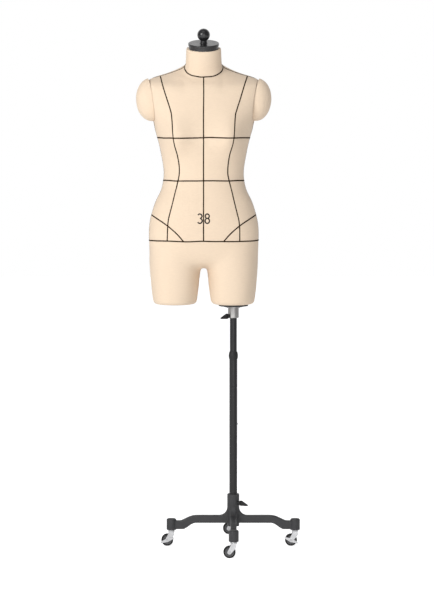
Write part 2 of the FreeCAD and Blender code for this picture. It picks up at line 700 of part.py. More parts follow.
def snap_button():
    """A domed pin with a small flange, pushed out through both tubes."""
    start, tip = V(BUTTON_IN, 0, BUTTON_Z), V(BUTTON_OUT - BUTTON_R, 0, BUTTON_Z)
    flange = rod(BUTTON_RIM, start, start + V(BUTTON_RIM_T, 0, 0))
    return Part.makeSphere(BUTTON_R, tip).fuse([rod(BUTTON_R, start, tip), flange])


def button_spring():
    """A bent leaf spring behind the button."""
    line = [(x, BUTTON_Z + z) for x, z in SPRING]
    return ribbon(line, SPRING_T, -SPRING_W / 2, SPRING_W)


# ---------------------------------------------------------------- base
def drop_edge(level, drop):
    """A smooth step down along +X from level."""
    start, end, fall, late = drop
    span = end - start
    points = []
    for k in range(DROP_STEPS + 1):
        t = k / DROP_STEPS
        share = (1 - math.cos(math.pi * t ** late)) / 2
        points.append(V(start + span * t, 0, level - fall * share))
    curve = Part.BSplineCurve()
    curve.interpolate(Points=points, InitialTangent=V(span, 0, 0), FinalTangent=V(span, 0, 0))
    return curve.toShape()


def arm_profile():
    """Side outline of one base arm, running out along +X."""
    low_start, low_end, low_fall, _ = LOW_DROP
    top_start, top_end, top_fall, _ = TOP_DROP
    low_level, top_level = ARM_LOW - low_fall, ARM_TOP - top_fall
    crown = ARM_TOP + WEB_R
    bend = WEB_R * (1 - math.sqrt(0.5))
    edges = [
        Part.makeLine(V(0, 0, ARM_LOW), V(low_start, 0, ARM_LOW)),
        drop_edge(ARM_LOW, LOW_DROP),
        Part.makeLine(V(low_end, 0, low_level), V(CUP_RADIUS, 0, low_level)),
        Part.makeLine(V(CUP_RADIUS, 0, low_level), V(CUP_RADIUS, 0, top_level)),
        Part.makeLine(V(CUP_RADIUS, 0, top_level), V(top_end, 0, top_level)),
        drop_edge(ARM_TOP, TOP_DROP),
        Part.makeLine(V(top_start, 0, ARM_TOP), V(HUB_R + WEB_R, 0, ARM_TOP)),
        Part.Arc(
            V(HUB_R + WEB_R, 0, ARM_TOP),
            V(HUB_R + bend, 0, ARM_TOP + bend),
            V(HUB_R, 0, crown),
        ).toShape(),
        Part.makeLine(V(HUB_R, 0, crown), V(0, 0, crown)),
        Part.makeLine(V(0, 0, crown), V(0, 0, ARM_LOW)),
    ]
    return Part.Face(Part.Wire(Part.__sortEdges__(edges)))


def base_arm():
    """One cast arm with rounded long edges."""
    arm = arm_profile().extrude(V(0, ARM_WIDE, 0))
    arm.translate(V(0, -ARM_WIDE / 2, 0))
    flat = [
        e for e in arm.Edges
        if e.BoundBox.YLength < 0.01 and e.BoundBox.XMax > HUB_R + 1 and e.BoundBox.XLength > 1
    ]
    return arm.makeFillet(ARM_EDGE, flat)


def cup():
    """The round socket at an arm's end."""
    shape = Part.makeCylinder(CUP_R, CUP_TOP - CUP_LOW, V(CUP_RADIUS, 0, CUP_LOW), UP)
    top = [e for e in shape.Edges if e.BoundBox.ZMin > CUP_TOP - 0.1]
    return shape.makeFillet(CUP_EDGE, top)


def base_casting():
    """Hub, four arms and their caster cups, bored for the pole and the sleeves."""
    hub = cylinder(HUB_R, HUB_LOW, HUB_TOP)
    hub = hub.makeFillet(HUB_EDGE, [e for e in hub.Edges if e.BoundBox.ZMin > HUB_TOP - 0.1])
    parts = []
    for degrees in CASTERS.values():
        arm = base_arm().fuse(cup())
        arm.rotate(V(0, 0, 0), UP, degrees)
        parts.append(arm)
    casting = hub.fuse(parts)
    casting = casting.cut(cylinder(LOWER_R + RUN, LOWER_LOW - 0.2, HUB_TOP + 1))
    for spot in caster_spots().values():
        casting = casting.cut(Part.makeCylinder(SLEEVE_R, CUP_DEEP, spot + V(0, 0, CUP_LOW), UP))
    return casting.cut(clamp_hole(BASE_CLAMP))


# ---------------------------------------------------------------- casters
def caster_spots():
    """Floor point under each caster's stem."""
    return {
        name: V(CUP_RADIUS * math.cos(math.radians(d)), CUP_RADIUS * math.sin(math.radians(d)), 0)
        for name, d in CASTERS.items()
    }


def sleeve(spot):
    """A plastic bush in a caster cup."""
    mouth = spot + V(0, 0, CUP_LOW)
    outer = Part.makeCylinder(SLEEVE_R, SLEEVE_LONG, mouth, UP)
    low = mouth - V(0, 0, SLEEVE_RIM_T)
    flange = Part.makeCylinder(SLEEVE_RIM_R, SLEEVE_RIM_T, low, UP)
    return outer.fuse(flange).cut(Part.makeCylinder(PIN_R, 2 * SLEEVE_LONG, low, UP))


def stem(spot):
    """A caster pin with a raceway collar above the fork and a riveted head below it."""
    pin = Part.makeCylinder(PIN_R, PIN_LONG, spot + V(0, 0, PIN_LOW), UP)
    above = FORK_TOP + RUN
    collar_t = CUP_LOW - SLEEVE_RIM_T - above
    collar = Part.makeCylinder(PIN_COLLAR_R, collar_t, spot + V(0, 0, above), UP)
    below = FORK_TOP - FORK_T - RUN - PIN_HEAD_T
    head = Part.makeCylinder(PIN_HEAD_R, PIN_HEAD_T, spot + V(0, 0, below), UP)
    return pin.fuse([collar, head])


def wheel_axis(spot):
    """Centre of a wheel; every caster trails towards -X."""
    return spot + V(-TRAIL, 0, WHEEL_R)


def fork(spot):
    """A pressed fork: a top plate and two cheeks leaning back to the axle."""
    length = math.hypot(TRAIL, CHEEK_Z - WHEEL_R)
    lean = math.degrees(math.atan2(WHEEL_R - CHEEK_Z, -TRAIL))
    cheeks = []
    for side in (-1, 1):
        cheek = teardrop(CHEEK_TOP_R, CHEEK_LOW_R, length, CHEEK_T)
        cheek.rotate(V(0, 0, 0), V(0, 1, 0), -lean)
        cheek.translate(V(0, side * (FORK_GAP + CHEEK_T / 2), CHEEK_Z))
        cheeks.append(cheek)
    half, low = FORK_GAP + CHEEK_T, FORK_TOP - FORK_T
    corner = V(-FORK_BRIDGE / 2, -half, low)
    top = Part.makeBox(FORK_BRIDGE, 2 * half, FORK_T, corner)
    shape = top.fuse([cylinder(FORK_RIM_R, low, FORK_TOP)] + cheeks)
    shape = shape.cut(cylinder(PIN_R + RUN, low - 1, FORK_TOP + 1))
    shape.translate(spot)
    return shape.cut(round_y(wheel_axis(spot), AXLE_R, 2 * FORK_GAP))


def axle(spot, braked):
    """A riveted axle; a braked caster's is longer in front to carry the rocker."""
    centre = wheel_axis(spot)
    front = V(0, -CHEEK_OUT - (BRAKE_T + BRAKE_GAP if braked else 0), 0)
    back = V(0, CHEEK_OUT, 0)
    end, rivet = V(0, AXLE_END, 0), V(0, RIVET_T, 0)
    pin = rod(AXLE_R, centre + front - end, centre + back + end)
    near = rod(RIVET_R, centre + front, centre + front - rivet)
    far = rod(RIVET_R, centre + back, centre + back + rivet)
    return pin.fuse([near, far])


def round_y(centre, radius, half):
    """A disc across the wheel's width."""
    return rod(radius, centre + V(0, -half, 0), centre + V(0, half, 0))


def wheel_core(spot):
    """A plastic wheel centre with a dished web."""
    centre = wheel_axis(spot)
    hub = round_y(centre, WHEEL_HUB_R, FORK_GAP - 0.3)
    core = round_y(centre, TYRE_IN_R, CORE_HALF).fuse(hub)
    for side in (-1, 1):
        dish = round_y(centre, DISH_R, DISH_DEEP).cut(round_y(centre, WHEEL_HUB_R, WHEEL_R))
        dish.translate(V(0, side * CORE_HALF, 0))
        core = core.cut(dish)
    return core.cut(round_y(centre, AXLE_R + RUN, WHEEL_R))


def tyre(spot):
    """A rubber tread with rounded shoulders."""
    centre = wheel_axis(spot)
    ring = round_y(centre, WHEEL_R, WHEEL_HALF)
    ring = ring.makeFillet(TYRE_EDGE, [e for e in ring.Edges if e.Closed])
    return ring.cut(round_y(centre, TYRE_IN_R, WHEEL_R))


def brake_rocker(spot, tilt):
    """A flat rocker on the axle with a lip at each end to press by foot."""
    bars = []
    lip_wide = BRAKE_W - 1
    for turn in (0, 180):
        bar = teardrop(BRAKE_EYE_R, BRAKE_W / 2, BRAKE_HALF - BRAKE_W / 2, BRAKE_T)
        corner = V(BRAKE_HALF - LIP_IN, -LIP_LONG, -lip_wide / 2)
        bar = bar.fuse(Part.makeBox(LIP_T, LIP_LONG, lip_wide, corner))
        bar.rotate(V(0, 0, 0), V(0, 1, 0), turn)
        bars.append(bar)
    shape = bars[0].fuse(bars[1]).cut(round_y(V(0, 0, 0), AXLE_R + RUN, WHEEL_R))
    shape.rotate(V(0, 0, 0), V(0, 1, 0), -tilt)
    shape.translate(wheel_axis(spot) - V(0, CHEEK_OUT + (BRAKE_T + BRAKE_GAP) / 2, 0))
    return shape


# ---------------------------------------------------------------- all nodes
def form_nodes():
    """Everything that turns with the form."""
    depth = [0.0, COVER_T, COVER_T + PADDING_T, WALL_T]
    outer, under_cover, under_padding, cavity = [body(d) for d in depth]
    skin = body(-TAPE_T).cut(outer)
    foot_board = leg_board(cavity)
    side_board = shoulder_board(cavity)
    plate = arm_plate()
    screws = group([arm_local(plate_screw(x)) for x in SCREW_SPOTS])
    return {
        "torso_cover": outer.cut(under_cover),
        "torso_padding": padding_blocks(under_cover.cut(under_padding)),
        "torso_shell": under_padding.cut(cavity),
        "style_tapes": style_tapes(skin),
        "neck_block": neck_block(cavity),
        "neck_cap": neck_cap(),
        "finial_stud": neck_rod(STUD_R, -STUD_DEEP, STUD_TALL),
        "leg_board_left": foot_board,
        "leg_board_right": mirrored(foot_board),
        "shoulder_board_left": side_board,
        "shoulder_board_right": mirrored(side_board),
        "arm_plate_left": plate,
        "arm_plate_right": mirrored(plate),
        "arm_plate_screws": group([screws, mirrored(screws)]),
        "mount_plate": mount_plate(),
        "mount_plate_screws": group(wood_screws()),
        "pole_socket": pole_socket(),
        "pole_socket_bolts": group(socket_bolts()),
    }


def arm_nodes():
    """Both removable arm caps."""
    nodes = {}
    for name, shape in arm_cap_nodes().items():
        nodes[name + "_left"] = shape
        nodes[name + "_right"] = mirrored(shape)
    return nodes


def stand_nodes():
    """Poles, base and clamps."""
    spots = caster_spots().values()
    return {
        "finial_knob": finial_knob(),
        "socket_clamp_screw": clamp_screw(SOCKET_CLAMP),
        "socket_clamp_lever": clamp_lever(SOCKET_CLAMP),
        "upper_pole": upper_pole(),
        "upper_pole_plug": upper_pole_plug(),
        "snap_button": snap_button(),
        "button_spring": button_spring(),
        "lower_pole": lower_pole(),
        "pole_collar": pole_collar(),
        "base_casting": base_casting(),
        "base_clamp_screw": clamp_screw(BASE_CLAMP),
        "base_clamp_lever": clamp_lever(BASE_CLAMP),
        "caster_sleeves": group([sleeve(s) for s in spots]),
        "caster_stems": group([stem(s) for s in spots]),
    }


def caster_nodes():
    """The four casters' own pieces."""
    nodes = {}
    for name, spot in caster_spots().items():
        nodes["caster_fork_" + name] = fork(spot)
        nodes["caster_axle_" + name] = axle(spot, name in BRAKE_TILT)
        nodes["caster_wheel_" + name] = wheel_core(spot)
        nodes["caster_tyre_" + name] = tyre(spot)
    for name, tilt in BRAKE_TILT.items():
        nodes["brake_rocker_" + name] = brake_rocker(caster_spots()[name], tilt)
    return nodes


def main():
    os.makedirs("parts", exist_ok=True)
    for nodes in (form_nodes(), arm_nodes(), stand_nodes(), caster_nodes()):
        for name, shape in nodes.items():
            shape.exportStep("parts/" + name + ".step")


main()
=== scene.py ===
"""Looks of the dress form mannequin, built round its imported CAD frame.  Metres, +Z up."""

import json
import math

import bmesh
import bpy
import numpy as np
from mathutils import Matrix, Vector, noise
from mathutils.bvhtree import BVHTree
from mathutils.kdtree import KDTree

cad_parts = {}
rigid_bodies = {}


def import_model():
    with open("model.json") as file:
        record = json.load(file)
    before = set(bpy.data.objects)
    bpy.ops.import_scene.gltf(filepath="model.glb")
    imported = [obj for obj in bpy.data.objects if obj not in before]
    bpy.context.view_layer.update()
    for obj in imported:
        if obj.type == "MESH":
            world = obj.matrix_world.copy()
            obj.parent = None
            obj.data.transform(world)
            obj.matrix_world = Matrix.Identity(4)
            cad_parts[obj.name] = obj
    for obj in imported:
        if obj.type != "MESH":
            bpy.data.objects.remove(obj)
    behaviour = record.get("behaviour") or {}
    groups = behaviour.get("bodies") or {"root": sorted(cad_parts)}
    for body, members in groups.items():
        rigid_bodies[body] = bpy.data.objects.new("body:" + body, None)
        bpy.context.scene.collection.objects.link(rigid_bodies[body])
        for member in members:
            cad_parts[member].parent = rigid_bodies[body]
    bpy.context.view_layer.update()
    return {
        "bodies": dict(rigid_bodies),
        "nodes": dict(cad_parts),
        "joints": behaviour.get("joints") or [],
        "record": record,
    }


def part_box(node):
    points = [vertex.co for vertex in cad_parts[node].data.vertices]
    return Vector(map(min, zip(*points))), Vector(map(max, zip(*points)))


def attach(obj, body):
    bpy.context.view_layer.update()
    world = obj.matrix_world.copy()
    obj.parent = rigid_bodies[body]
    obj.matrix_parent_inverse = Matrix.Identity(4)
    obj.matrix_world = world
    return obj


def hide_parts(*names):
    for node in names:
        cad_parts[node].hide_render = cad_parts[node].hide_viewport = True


MM = 0.001

# Style lines, measured from the form's middle plane and the floor, in millimetres.
BUST_Z, WAIST_Z, HIP_Z = 1290.0, 1157.5, 970.5
NECKLINE_Z, NECKLINE_TILT = 1507.3, 31.5
NECKLINE_FRONT, NECKLINE_BACK = 46.5, 51.5
ARMPIT_Z = 1340.0
PRINCESS = [
    (138, 1489), (116, 1419), (102.5, 1376), (98, 1354), (92, 1282), (80, 1234),
    (75, 1190), (79, 1156), (102.5, 1064), (110, 1026), (113, 970.5),
]
BIKINI = [(166, 1052), (140, 1037), (111, 1018), (84, 995), (62, 970.5)]
SHOULDER_IN, SHOULDER_OUT, SHOULDER_STEPS = 60.0, 160.0, 30
SHOULDER_AHEAD, SHOULDER_BACK = 4.0 * MM, 13.0 * MM
SETTLE, SETTLE_IN, SETTLE_FULL, SETTLE_OUT = 6.5 * MM, 30.0, 62.0, 165.0
CROTCH_Z = 922.5
TAPE_HALF, TAPE_THICK = 1.8 * MM, 0.5 * MM
RING_WAVER = 1.6 * MM
INK_HALF, NUMERAL_Z, NUMERAL_TALL, NUMERAL_WIDE = 2.1 * MM, 1027.0, 29.0, 13.5
NUMERAL_X = 11.5

# Arm caps: half height, half depth, reach and squareness of the dome.
CAP_HIGH, CAP_DEEP, CAP_REACH, CAP_POWER = 66.0 * MM, 48.0 * MM, 46.0 * MM, 2.2
CAP_GAP = 0.12 * MM
CAP_SAG = 4.0 * MM
HEM_LEAST, HEM_MOST = 0.5 * MM, 1.3 * MM

LINEN_VOXEL = 5.0 * MM
PUFF_PRESSURE, PUFF_FRAMES = 4.0, 20
TORSO_PUFF, CAP_PUFF = 1.8 * MM, 3.0 * MM


# ---------------------------------------------------------------- meshes
def make_object(name, verts, faces, smooth=True):
    """A mesh object from points and faces, with its normals facing out."""
    mesh = bpy.data.meshes.new(name)
    mesh.from_pydata([tuple(v) for v in verts], [], faces)
    mesh.update()
    work = bmesh.new()
    work.from_mesh(mesh)
    bmesh.ops.recalc_face_normals(work, faces=work.faces)
    work.to_mesh(mesh)
    work.free()
    mesh.polygons.foreach_set("use_smooth", [smooth] * len(mesh.polygons))
    obj = bpy.data.objects.new(name, mesh)
    bpy.context.scene.collection.objects.link(obj)
    return obj


def outer_island(node, name):
    """A copy of a CAD node's outermost closed surface."""
    work = bmesh.new()
    work.from_mesh(node.data)
    bmesh.ops.remove_doubles(work, verts=work.verts, dist=0.02 * MM)
    best, best_size, seen = [], -1.0, set()
    for start in work.verts:
        if start in seen:
            continue
        island, stack = [], [start]
        seen.add(start)
        while stack:
            vert = stack.pop()
            island.append(vert)
            for edge in vert.link_edges:
                other = edge.other_vert(vert)
                if other not in seen:
                    seen.add(other)
                    stack.append(other)
        xs = [v.co.x for v in island]
        if max(xs) - min(xs) > best_size:
            best, best_size = island, max(xs) - min(xs)
    keep = set(best)
    bmesh.ops.delete(work, geom=[v for v in work.verts if v not in keep], context="VERTS")
    mesh = bpy.data.meshes.new(name)
    work.to_mesh(mesh)
    work.free()
    obj = bpy.data.objects.new(name, mesh)
    bpy.context.scene.collection.objects.link(obj)
    return obj


def remesh(obj, size):
    """Rebuilds a closed mesh as even quads."""
    obj.data.remesh_voxel_size = size
    obj.data.remesh_voxel_adaptivity = 0.0
    bpy.context.view_layer.objects.active = obj
    bpy.ops.object.select_all(action="DESELECT")
    obj.select_set(True)
    bpy.ops.object.voxel_remesh()


def positions(mesh):
    """A mesh's vertex positions as an array."""
    co = np.zeros(len(mesh.vertices) * 3, np.float32)
    mesh.vertices.foreach_get("co", co)
    return co.reshape(-1, 3).astype(float)


def normals(mesh):
    """A mesh's vertex normals as an array."""
    co = np.zeros(len(mesh.vertices) * 3, np.float32)
    mesh.vertex_normals.foreach_get("vector", co)
    return co.reshape(-1, 3).astype(float)


def set_positions(mesh, co):
    mesh.vertices.foreach_set("co", co.astype(np.float32).ravel())
    mesh.update()


def relax(mesh, rounds, amount, weight=None):
    """Smooths a mesh by moving each vertex towards its neighbours' mean, then part way back."""
    pairs = np.zeros(len(mesh.edges) * 2, np.int32)
    mesh.edges.foreach_get("vertices", pairs)
    a, b = pairs.reshape(-1, 2).T
    co = positions(mesh)
    count = np.bincount(a, minlength=len(co)) + np.bincount(b, minlength=len(co))
    share = np.ones(len(co)) if weight is None else weight
    for _ in range(rounds):
        for step in (amount, -amount * 1.02 if weight is None else 0.0):
            total = np.zeros_like(co)
            np.add.at(total, a, co[b])
            np.add.at(total, b, co[a])
            mean = total / count[:, None]
            co = co + (mean - co) * (step * share)[:, None]
    set_positions(mesh, co)


def surface_tree(obj):
    """A ray-casting tree of an object's surface."""
    mesh = obj.data
    return BVHTree.FromPolygons(
        [v.co.copy() for v in mesh.vertices], [tuple(p.vertices) for p in mesh.polygons]
    )


# ---------------------------------------------------------------- shader helpers
class Shader:
    """A node material with a few shorthand calls."""

    def __init__(self, name, color, rough, metal=0.0):
        self.material = bpy.data.materials.new(name)
        self.material.use_nodes = True
        self.tree = self.material.node_tree
        self.bsdf = self.tree.nodes["Principled BSDF"]
        self.bsdf.inputs["Base Color"].default_value = (*color, 1.0)
        self.bsdf.inputs["Roughness"].default_value = rough
        self.bsdf.inputs["Metallic"].default_value = metal
        self.bump_source = None

    def node(self, kind, **values):
        made = self.tree.nodes.new(kind)
        for key, value in values.items():
            setattr(made, key, value)
        return made

    def link(self, out, into):
        self.tree.links.new(out, into)

    def coords(self):
        return self.node("ShaderNodeTexCoord").outputs["Object"]

    def noise(self, scale, detail=3.0, stretch=None):
        made = self.node("ShaderNodeTexNoise")
        made.inputs["Scale"].default_value = scale
        made.inputs["Detail"].default_value = detail
        source = self.coords()
        if stretch:
            mapping = self.node("ShaderNodeMapping")
            mapping.inputs["Scale"].default_value = stretch
            self.link(source, mapping.inputs["Vector"])
            source = mapping.outputs["Vector"]
        self.link(source, made.inputs["Vector"])
        return made.outputs["Fac"]

    def math(self, operation, a, b=None):
        made = self.node("ShaderNodeMath", operation=operation)
        for slot, value in enumerate((a, b)):
            if value is None:
                continue
            if isinstance(value, (int, float)):
                made.inputs[slot].default_value = value
            else:
                self.link(value, made.inputs[slot])
        return made.outputs["Value"]

    def spread(self, value, low, high, into):
        """Maps a 0 to 1 value onto low to high and feeds it to an input."""
        made = self.node("ShaderNodeMapRange")
        made.inputs["From Min"].default_value = 0.25
        made.inputs["From Max"].default_value = 0.75
        made.inputs["To Min"].default_value = low
        made.inputs["To Max"].default_value = high
        self.link(value, made.inputs["Value"])
        self.link(made.outputs["Result"], into)

    def tint(self, value, dark, light):
        """Colours the surface between two colours by a 0 to 1 value."""
        made = self.node("ShaderNodeMix", data_type="RGBA")
        made.inputs["A"].default_value = (*dark, 1.0)
        made.inputs["B"].default_value = (*light, 1.0)
        ramp = self.node("ShaderNodeMapRange")
        ramp.inputs["From Min"].default_value = 0.3
        ramp.inputs["From Max"].default_value = 0.7
        self.link(value, ramp.inputs["Value"])
        self.link(ramp.outputs["Result"], made.inputs["Factor"])
        self.link(made.outputs["Result"], self.bsdf.inputs["Base Color"])

    def bump(self, height, strength, distance):
        """Adds a bump on top of any earlier one."""
        made = self.node("ShaderNodeBump")
        made.inputs["Strength"].default_value = strength
        made.inputs["Distance"].default_value = distance
        self.link(height, made.inputs["Height"])
        if self.bump_source is not None:
            self.link(self.bump_source, made.inputs["Normal"])
        self.bump_source = made.outputs["Normal"]
        self.link(self.bump_source, self.bsdf.inputs["Normal"])


def scaled(color, factor):
    return tuple(min(1.0, c * factor) for c in color)


LINEN_COLOR = (0.740, 0.593, 0.447)


def weave_height(shader, pitch):
    """Crossed threads, following the body's front and sides."""
    split = shader.node("ShaderNodeSeparateXYZ")
    shader.link(shader.coords(), split.inputs[0])
    facing = shader.node("ShaderNodeSeparateXYZ")
    geometry = shader.node("ShaderNodeNewGeometry")
    shader.link(geometry.outputs["Normal"], facing.inputs[0])
    turn = 2 * math.pi / pitch

    def wave(value):
        return shader.math("SINE", shader.math("MULTIPLY", value, turn))

    side = shader.math("ABSOLUTE", facing.outputs["X"])
    across = shader.math("MULTIPLY", wave(split.outputs["Y"]), side)
    rest = shader.math("SUBTRACT", 1.0, side)
    along = shader.math("MULTIPLY", wave(split.outputs["X"]), rest)
    warp = shader.math("ADD", across, along)
    return shader.math("ADD", shader.math("MULTIPLY", warp, wave(split.outputs["Z"])), warp)


def linen():
    """Plain woven cream linen with slubs and slight unevenness."""
    shader = Shader("linen", LINEN_COLOR, 0.9)
    slub = shader.noise(90.0, 4.0, (1.0, 1.0, 9.0))
    shader.tint(slub, scaled(LINEN_COLOR, 0.965), scaled(LINEN_COLOR, 1.02))
    shader.spread(shader.noise(35.0), 0.82, 0.95, shader.bsdf.inputs["Roughness"])
    shader.bsdf.inputs["Specular IOR Level"].default_value = 0.22
    shader.bsdf.inputs["Sheen Weight"].default_value = 0.12
    shader.bsdf.inputs["Sheen Roughness"].default_value = 0.5
    shader.bump(weave_height(shader, 0.9 * MM), 0.25, 0.12 * MM)
    shader.bump(slub, 0.12, 0.3 * MM)
    shader.bump(shader.noise(9.0, 2.0), 0.10, 3.0 * MM)
    return shader.material


def tape():
    """Dark brown narrow woven tape with fine ribs."""
    shader = Shader("tape", (0.025, 0.013, 0.006), 0.9)
    shader.bsdf.inputs["Specular IOR Level"].default_value = 0.05
    shader.tint(shader.noise(400.0), (0.016, 0.008, 0.003), (0.034, 0.018, 0.009))
    shader.bump(weave_height(shader, 0.7 * MM), 0.5, 0.15 * MM)
    return shader.material


def print_ink():
    """Dark ink printed on the linen."""
    shader = Shader("print_ink", (0.03, 0.025, 0.022), 0.85)
    shader.bsdf.inputs["Specular IOR Level"].default_value = 0.15
    shader.tint(shader.noise(700.0), (0.02, 0.017, 0.015), (0.05, 0.042, 0.038))
    shader.bump(weave_height(shader, 0.9 * MM), 0.3, 0.12 * MM)
    return shader.material


def surface(name, color, rough, metal=0.0, grain=600.0, relief=0.1, depth=0.05 * MM, vary=0.1):
    """A hard surface with uneven sheen, faint colour change and fine relief."""
    shader = Shader(name, color, rough, metal)
    shader.tint(shader.noise(22.0, 4.0), scaled(color, 1 - vary), scaled(color, 1 + vary))
    low, high = max(0.05, rough - 0.08), rough + 0.08
    shader.spread(shader.noise(60.0, 5.0), low, high, shader.bsdf.inputs["Roughness"])
    shader.bump(shader.noise(grain, 2.0), relief, depth)
    return shader


def black_lacquer():
    shader = surface("black_lacquer", (0.016, 0.016, 0.017), 0.34, 0.0, 500.0, 0.06)
    shader.bsdf.inputs["Specular IOR Level"].default_value = 0.30
    shader.bsdf.inputs["Coat Weight"].default_value = 0.12
    shader.bsdf.inputs["Coat Roughness"].default_value = 0.25
    shader.bump(shader.noise(40.0, 3.0, (30.0, 30.0, 1.0)), 0.05, 0.1 * MM)
    return shader.material


def cap_black():
    shader = surface("cap_black", (0.012, 0.012, 0.013), 0.30, 0.0, 300.0, 0.05)
    shader.bsdf.inputs["Coat Weight"].default_value = 0.3
    shader.bsdf.inputs["Coat Roughness"].default_value = 0.15
    return shader.material


def cast_black():
    """Powder coat over a cast skin."""
    shader = surface("cast_black", (0.030, 0.030, 0.032), 0.48, 0.0, 900.0, 0.25, 0.08 * MM)
    shader.bump(shader.noise(70.0, 3.0), 0.12, 0.5 * MM)
    return shader.material


def bright_steel():
    shader = surface("bright_steel", (0.68, 0.68, 0.69), 0.27, 1.0, 200.0, 0.08, 0.03 * MM, 0.15)
    shader.bump(shader.noise(150.0, 3.0, (1.0, 1.0, 12.0)), 0.12, 0.08 * MM)
    return shader.material


def socket_steel():
    shader = surface("socket_steel", (0.40, 0.39, 0.38), 0.42, 1.0, 120.0, 0.2, 0.05 * MM, 0.25)
    shader.bump(shader.noise(60.0, 4.0), 0.15, 0.3 * MM)
    return shader.material


def zinc_steel():
    return surface("zinc_steel", (0.55, 0.55, 0.56), 0.38, 1.0, 350.0, 0.08).material


def lever_black():
    shader = surface("lever_black", (0.016, 0.016, 0.017), 0.55, 0.0, 1500.0, 0.2)
    shader.bsdf.inputs["Specular IOR Level"].default_value = 0.35
    return shader.material


def board_plastic():
    return surface("board_plastic", (0.08, 0.08, 0.085), 0.6, 0.0, 700.0, 0.15).material


def wheel_grey():
    return surface("wheel_grey", (0.10, 0.10, 0.105), 0.5, 0.0, 500.0, 0.1).material


def tyre_black():
    shader = surface("tyre_black", (0.012, 0.012, 0.012), 0.7, 0.0, 700.0, 0.25, 0.1 * MM)
    shader.bsdf.inputs["Specular IOR Level"].default_value = 0.25
    shader.tint(shader.noise(120.0, 4.0), (0.009, 0.009, 0.009), (0.022, 0.021, 0.020))
    return shader.material


def moulded_shell():
    return surface("moulded_shell", (0.55, 0.50, 0.42), 0.6, 0.0, 200.0, 0.15).material


def wadding():
    return surface("wadding", (0.75, 0.73, 0.68), 0.95, 0.0, 400.0, 0.6, 0.4 * MM).material


def foam():
    return surface("foam", (0.74, 0.70, 0.58), 0.95, 0.0, 900.0, 0.6, 0.3 * MM).material


def wood():
    """Planed softwood with long grain."""
    shader = Shader("wood", (0.48, 0.33, 0.18), 0.6)
    grain = shader.noise(30.0, 5.0, (1.0, 8.0, 8.0))
    shader.tint(grain, (0.36, 0.23, 0.11), (0.58, 0.42, 0.25))
    shader.spread(grain, 0.5, 0.7, shader.bsdf.inputs["Roughness"])
    shader.bump(grain, 0.15, 0.3 * MM)
    return shader.material


def make_materials():
    """One material per slot of the record, plus the printed numeral's ink and the socket's steel."""
    makers = (
        linen, tape, print_ink, black_lacquer, cap_black, cast_black, bright_steel, socket_steel,
        zinc_steel, lever_black, board_plastic, wheel_grey, tyre_black, moulded_shell, wadding, foam, wood,
    )
    return {maker.__name__: maker() for maker in makers}


def paint(obj, material):
    obj.data.materials.clear()
    obj.data.materials.append(material)


def dress_cad(frame, materials):
    """Gives every CAD node the material of its slot; the socket's plating is duller than the rest."""
    for part in frame["record"]["subparts"]:
        node = frame["nodes"][part["node"]]
        paint(node, materials[part["material_slot"]])
    paint(frame["nodes"]["pole_socket"], materials["socket_steel"])
    paint(frame["nodes"]["mount_plate"], materials["lever_black"])


# ---------------------------------------------------------------- linen body
def smooth_curve(points, steps):
    """A smooth path through (x, z) points."""
    path = []
    last = len(points) - 1
    for k in range(last):
        p0, p1 = points[max(k - 1, 0)], points[k]
        p2, p3 = points[k + 1], points[min(k + 2, last)]
        for i in range(steps):
            t = i / steps
            path.append(tuple(
                0.5 * (2 * b + (c - a) * t + (2 * a - 5 * b + 4 * c - d) * t * t
                       + (3 * b - a - 3 * c + d) * t ** 3)
                for a, b, c, d in zip(p0, p1, p2, p3)
            ))
    path.append(points[-1])
    return path


def hit(tree, origin, way):
    """The first point of the surface along a ray."""
    point, _, _, _ = tree.ray_cast(origin, way)
    return point


def across_path(tree, middle, points, back):
    """Points given as (x, z) seen from the front or the back, dropped on to the surface."""
    way = Vector((0, -1 if back else 1, 0))
    found = []
    for x, z in points:
        origin = Vector((middle + x * MM, 0, z * MM)) - way * 0.5
        found.append(hit(tree, origin, way))
    return [p for p in found if p is not None]


def ring_path(tree, middle, height, tilt, count):
    """A level or tilted ring round the body."""
    lean = math.radians(tilt)
    centre = Vector((middle, 0, height * MM))
    found = []
    for k in range(count):
        angle = 2 * math.pi * k / count
        up = math.sin(angle) * math.sin(lean)
        way = Vector((math.cos(angle), math.sin(angle) * math.cos(lean), up))
        drift = noise.noise(Vector((height, 2.5 * math.cos(angle), 2.5 * math.sin(angle))))
        spot = centre + Vector((0, 0, RING_WAVER * drift))
        found.append(hit(tree, spot + way * 0.4, -way))
    return [p for p in found if p is not None]


def side_path(tree, middle, side):
    """Down the side from the armhole to the hip line."""
    found = []
    for k in range(80):
        z = ARMPIT_Z + (HIP_Z - ARMPIT_Z) * k / 79
        origin = Vector((middle + side * 0.4, 0, z * MM))
        found.append(hit(tree, origin, Vector((-side, 0, 0))))
    return [p for p in found if p is not None]


def shoulder_path(tree, middle, side):
    """Just in front of the shoulder's top, from the neckline to the armhole."""
    down = Vector((0, 0, -1))
    across = [SHOULDER_IN + (SHOULDER_OUT - SHOULDER_IN) * k / SHOULDER_STEPS for k in range(SHOULDER_STEPS + 1)]
    ridge = []
    for x in across:
        line = [hit(tree, Vector((middle + side * x * MM, y * MM, 1.7)), down) for y in range(-20, 46, 2)]
        ridge.append(max((p for p in line if p is not None), key=lambda p: p.z).y)
    bend = np.polyfit(across, ridge, 2)
    found = []
    for x in across:
        y = min(np.polyval(bend, x) - SHOULDER_AHEAD, SHOULDER_BACK)
        found.append(hit(tree, Vector((middle + side * x * MM, y, 1.7)), down))
    return [p for p in found if p is not None]


def waver(points, seed, size=0.8):
    """A hand-sewn line's slight sideways waver, on (x, z) points."""
    made = []
    for x, z in points:
        drift = noise.noise(Vector((seed * 7.3, z * 0.017, x * 0.017)))
        made.append((x + size * drift, z))
    return made


